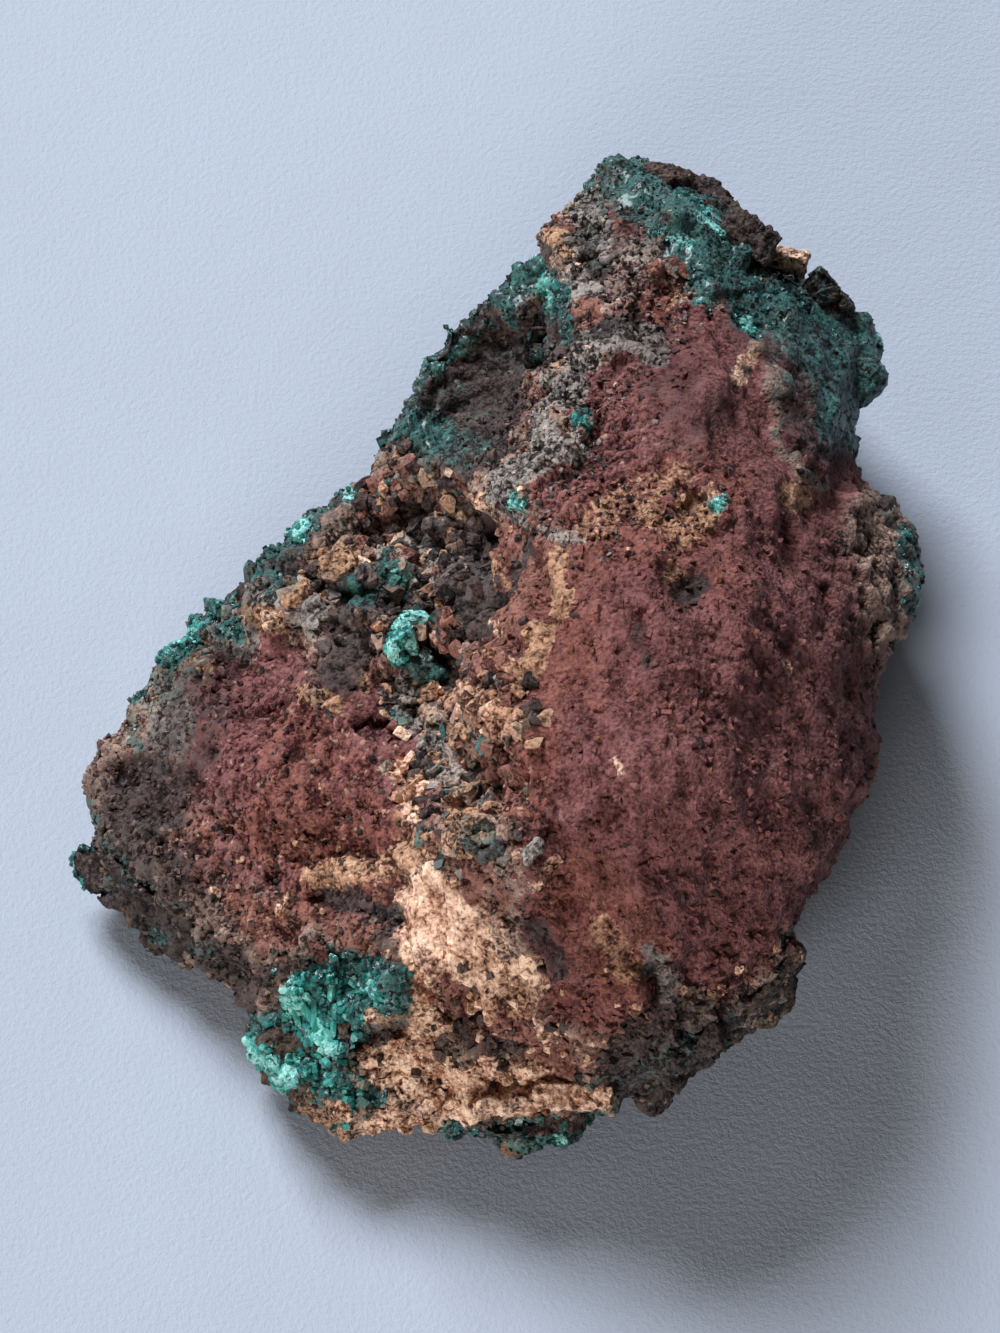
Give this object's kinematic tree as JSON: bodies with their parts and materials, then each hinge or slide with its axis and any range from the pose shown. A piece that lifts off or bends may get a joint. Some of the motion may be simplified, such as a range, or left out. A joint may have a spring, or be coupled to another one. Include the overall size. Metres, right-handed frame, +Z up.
{
  "type": "dioptase specimen",
  "caption": "Hand-sized mineral specimen: a rough rust-red gossan matrix with drusy blue-green dioptase crusts on its edges and in its hollow.",
  "frame": {"origin": "centre of the bounding box's base, on the surface the stone lies on", "axes": "+Z up, +Y away from the viewer towards the narrow end with the knob, +X to the right as the show face is seen"},
  "size_m": [0.0876, 0.1098, 0.0464],
  "materials": {
    "gossan": "matte, earthy, velvety iron oxide",
    "dioptase": "glassy, translucent blue-green crystals",
    "dark_crust": "dull, dark grey with faint green glints"
  },
  "bodies": {
    "root": {"gossan_matrix": "gossan", "hollow_dioptase_crust": "dioptase", "crest_dioptase_crust": "dioptase", "shoulder_dioptase_crust": "dioptase", "left_rim_dioptase_crust": "dioptase", "wing_tip_dioptase_crust": "dioptase", "corner_dioptase_cluster": "dioptase", "foot_dioptase_cluster": "dioptase", "fringe_dark_crust": "dark_crust", "right_flank_dioptase_crust": "dioptase", "back_flank_dioptase_crust": "dioptase"}
  },
  "joints": []
}
